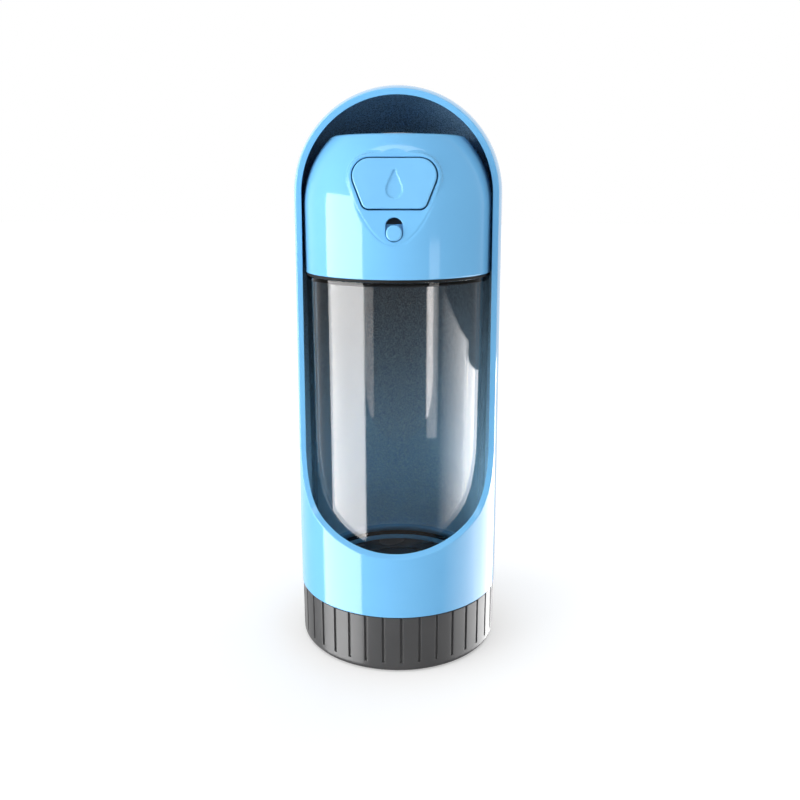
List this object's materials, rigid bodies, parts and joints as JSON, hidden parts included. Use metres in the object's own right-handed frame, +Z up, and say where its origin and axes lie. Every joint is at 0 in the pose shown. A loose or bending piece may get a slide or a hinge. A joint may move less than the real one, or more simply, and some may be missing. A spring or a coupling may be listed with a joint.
{
  "type": "dog travel water bottle",
  "caption": "Telescopic pet water bottle: clear tube with valve head and button, sliding inside a domed half-open tray shell, on a ribbed screw cap.",
  "frame": {"origin": "centre of the foot, on the surface that the bottle stands on", "axes": "+Z up along the tube, -Y out of the open front with the button, +X to the right seen from the front"},
  "size_m": [0.073, 0.073, 0.1971],
  "materials": {
    "blue_shell": "gloss light blue, grained inside",
    "blue_head": "gloss light blue",
    "blue_button": "gloss light blue",
    "smoke_clear": "smoky clear hard plastic",
    "black_rubber": "matt black",
    "white_plastic": "natural white moulding",
    "dark_cap": "satin dark grey",
    "dark_plug": "gloss near-black",
    "screw_steel": "bright screw steel",
    "stem_steel": "turned stainless",
    "spring_steel": "drawn stainless wire"
  },
  "bodies": {
    "bottle": {"bottle_tube": "smoke_clear", "neck_gasket": "black_rubber", "head_housing": "blue_head", "valve_body": "white_plastic", "deck_seal": "black_rubber", "deck_screws": "screw_steel", "outlet_collar": "white_plastic", "outlet_seal": "black_rubber", "valve_end_plug": "white_plastic", "end_plug_seal": "black_rubber", "return_spring": "spring_steel", "lock_retainer": "white_plastic", "retainer_screws": "screw_steel"},
    "tray": {"tray_shell": "blue_shell", "slide_seal": "black_rubber"},
    "button": {"release_button": "blue_button", "valve_stem": "stem_steel", "stem_seal": "black_rubber", "valve_washer": "black_rubber"},
    "lock": {"lock_slider": "blue_button"},
    "cap_lift": {"base_seal": "black_rubber"},
    "cap": {"base_cap": "dark_cap", "base_plug": "dark_plug", "plug_seal": "black_rubber"}
  },
  "joints": [
    {"name": "shell_slide", "type": "slide", "parent": "bottle", "child": "tray", "axis": [0, 0, 1], "range_m": [0, 0.1088]},
    {"name": "button_press", "type": "slide", "parent": "bottle", "child": "button", "axis": [0, 0.9829, -0.1839], "range_m": [0, 0.0025], "stiffness_N_per_m": 1200, "springref_m": -0.0025, "deforming": ["return_spring"]},
    {"name": "lock_slide", "type": "slide", "parent": "bottle", "child": "lock", "axis": [0, 0.1839, 0.9829], "range_m": [0, 0.0023]},
    {"name": "cap_unscrew_lift", "type": "slide", "parent": "bottle", "child": "cap_lift", "axis": [0, 0, -1], "range_m": [0, 0.008]},
    {"name": "cap_unscrew", "type": "hinge", "parent": "cap_lift", "child": "cap", "pos_m": [0, 0, 0], "axis": [0, 0, -1], "range_deg": [0, 720]}
  ],
  "couplings": [
    {"joint": "cap_unscrew_lift", "follows": "cap_unscrew", "m_per_rad": 0.00063662}
  ]
}
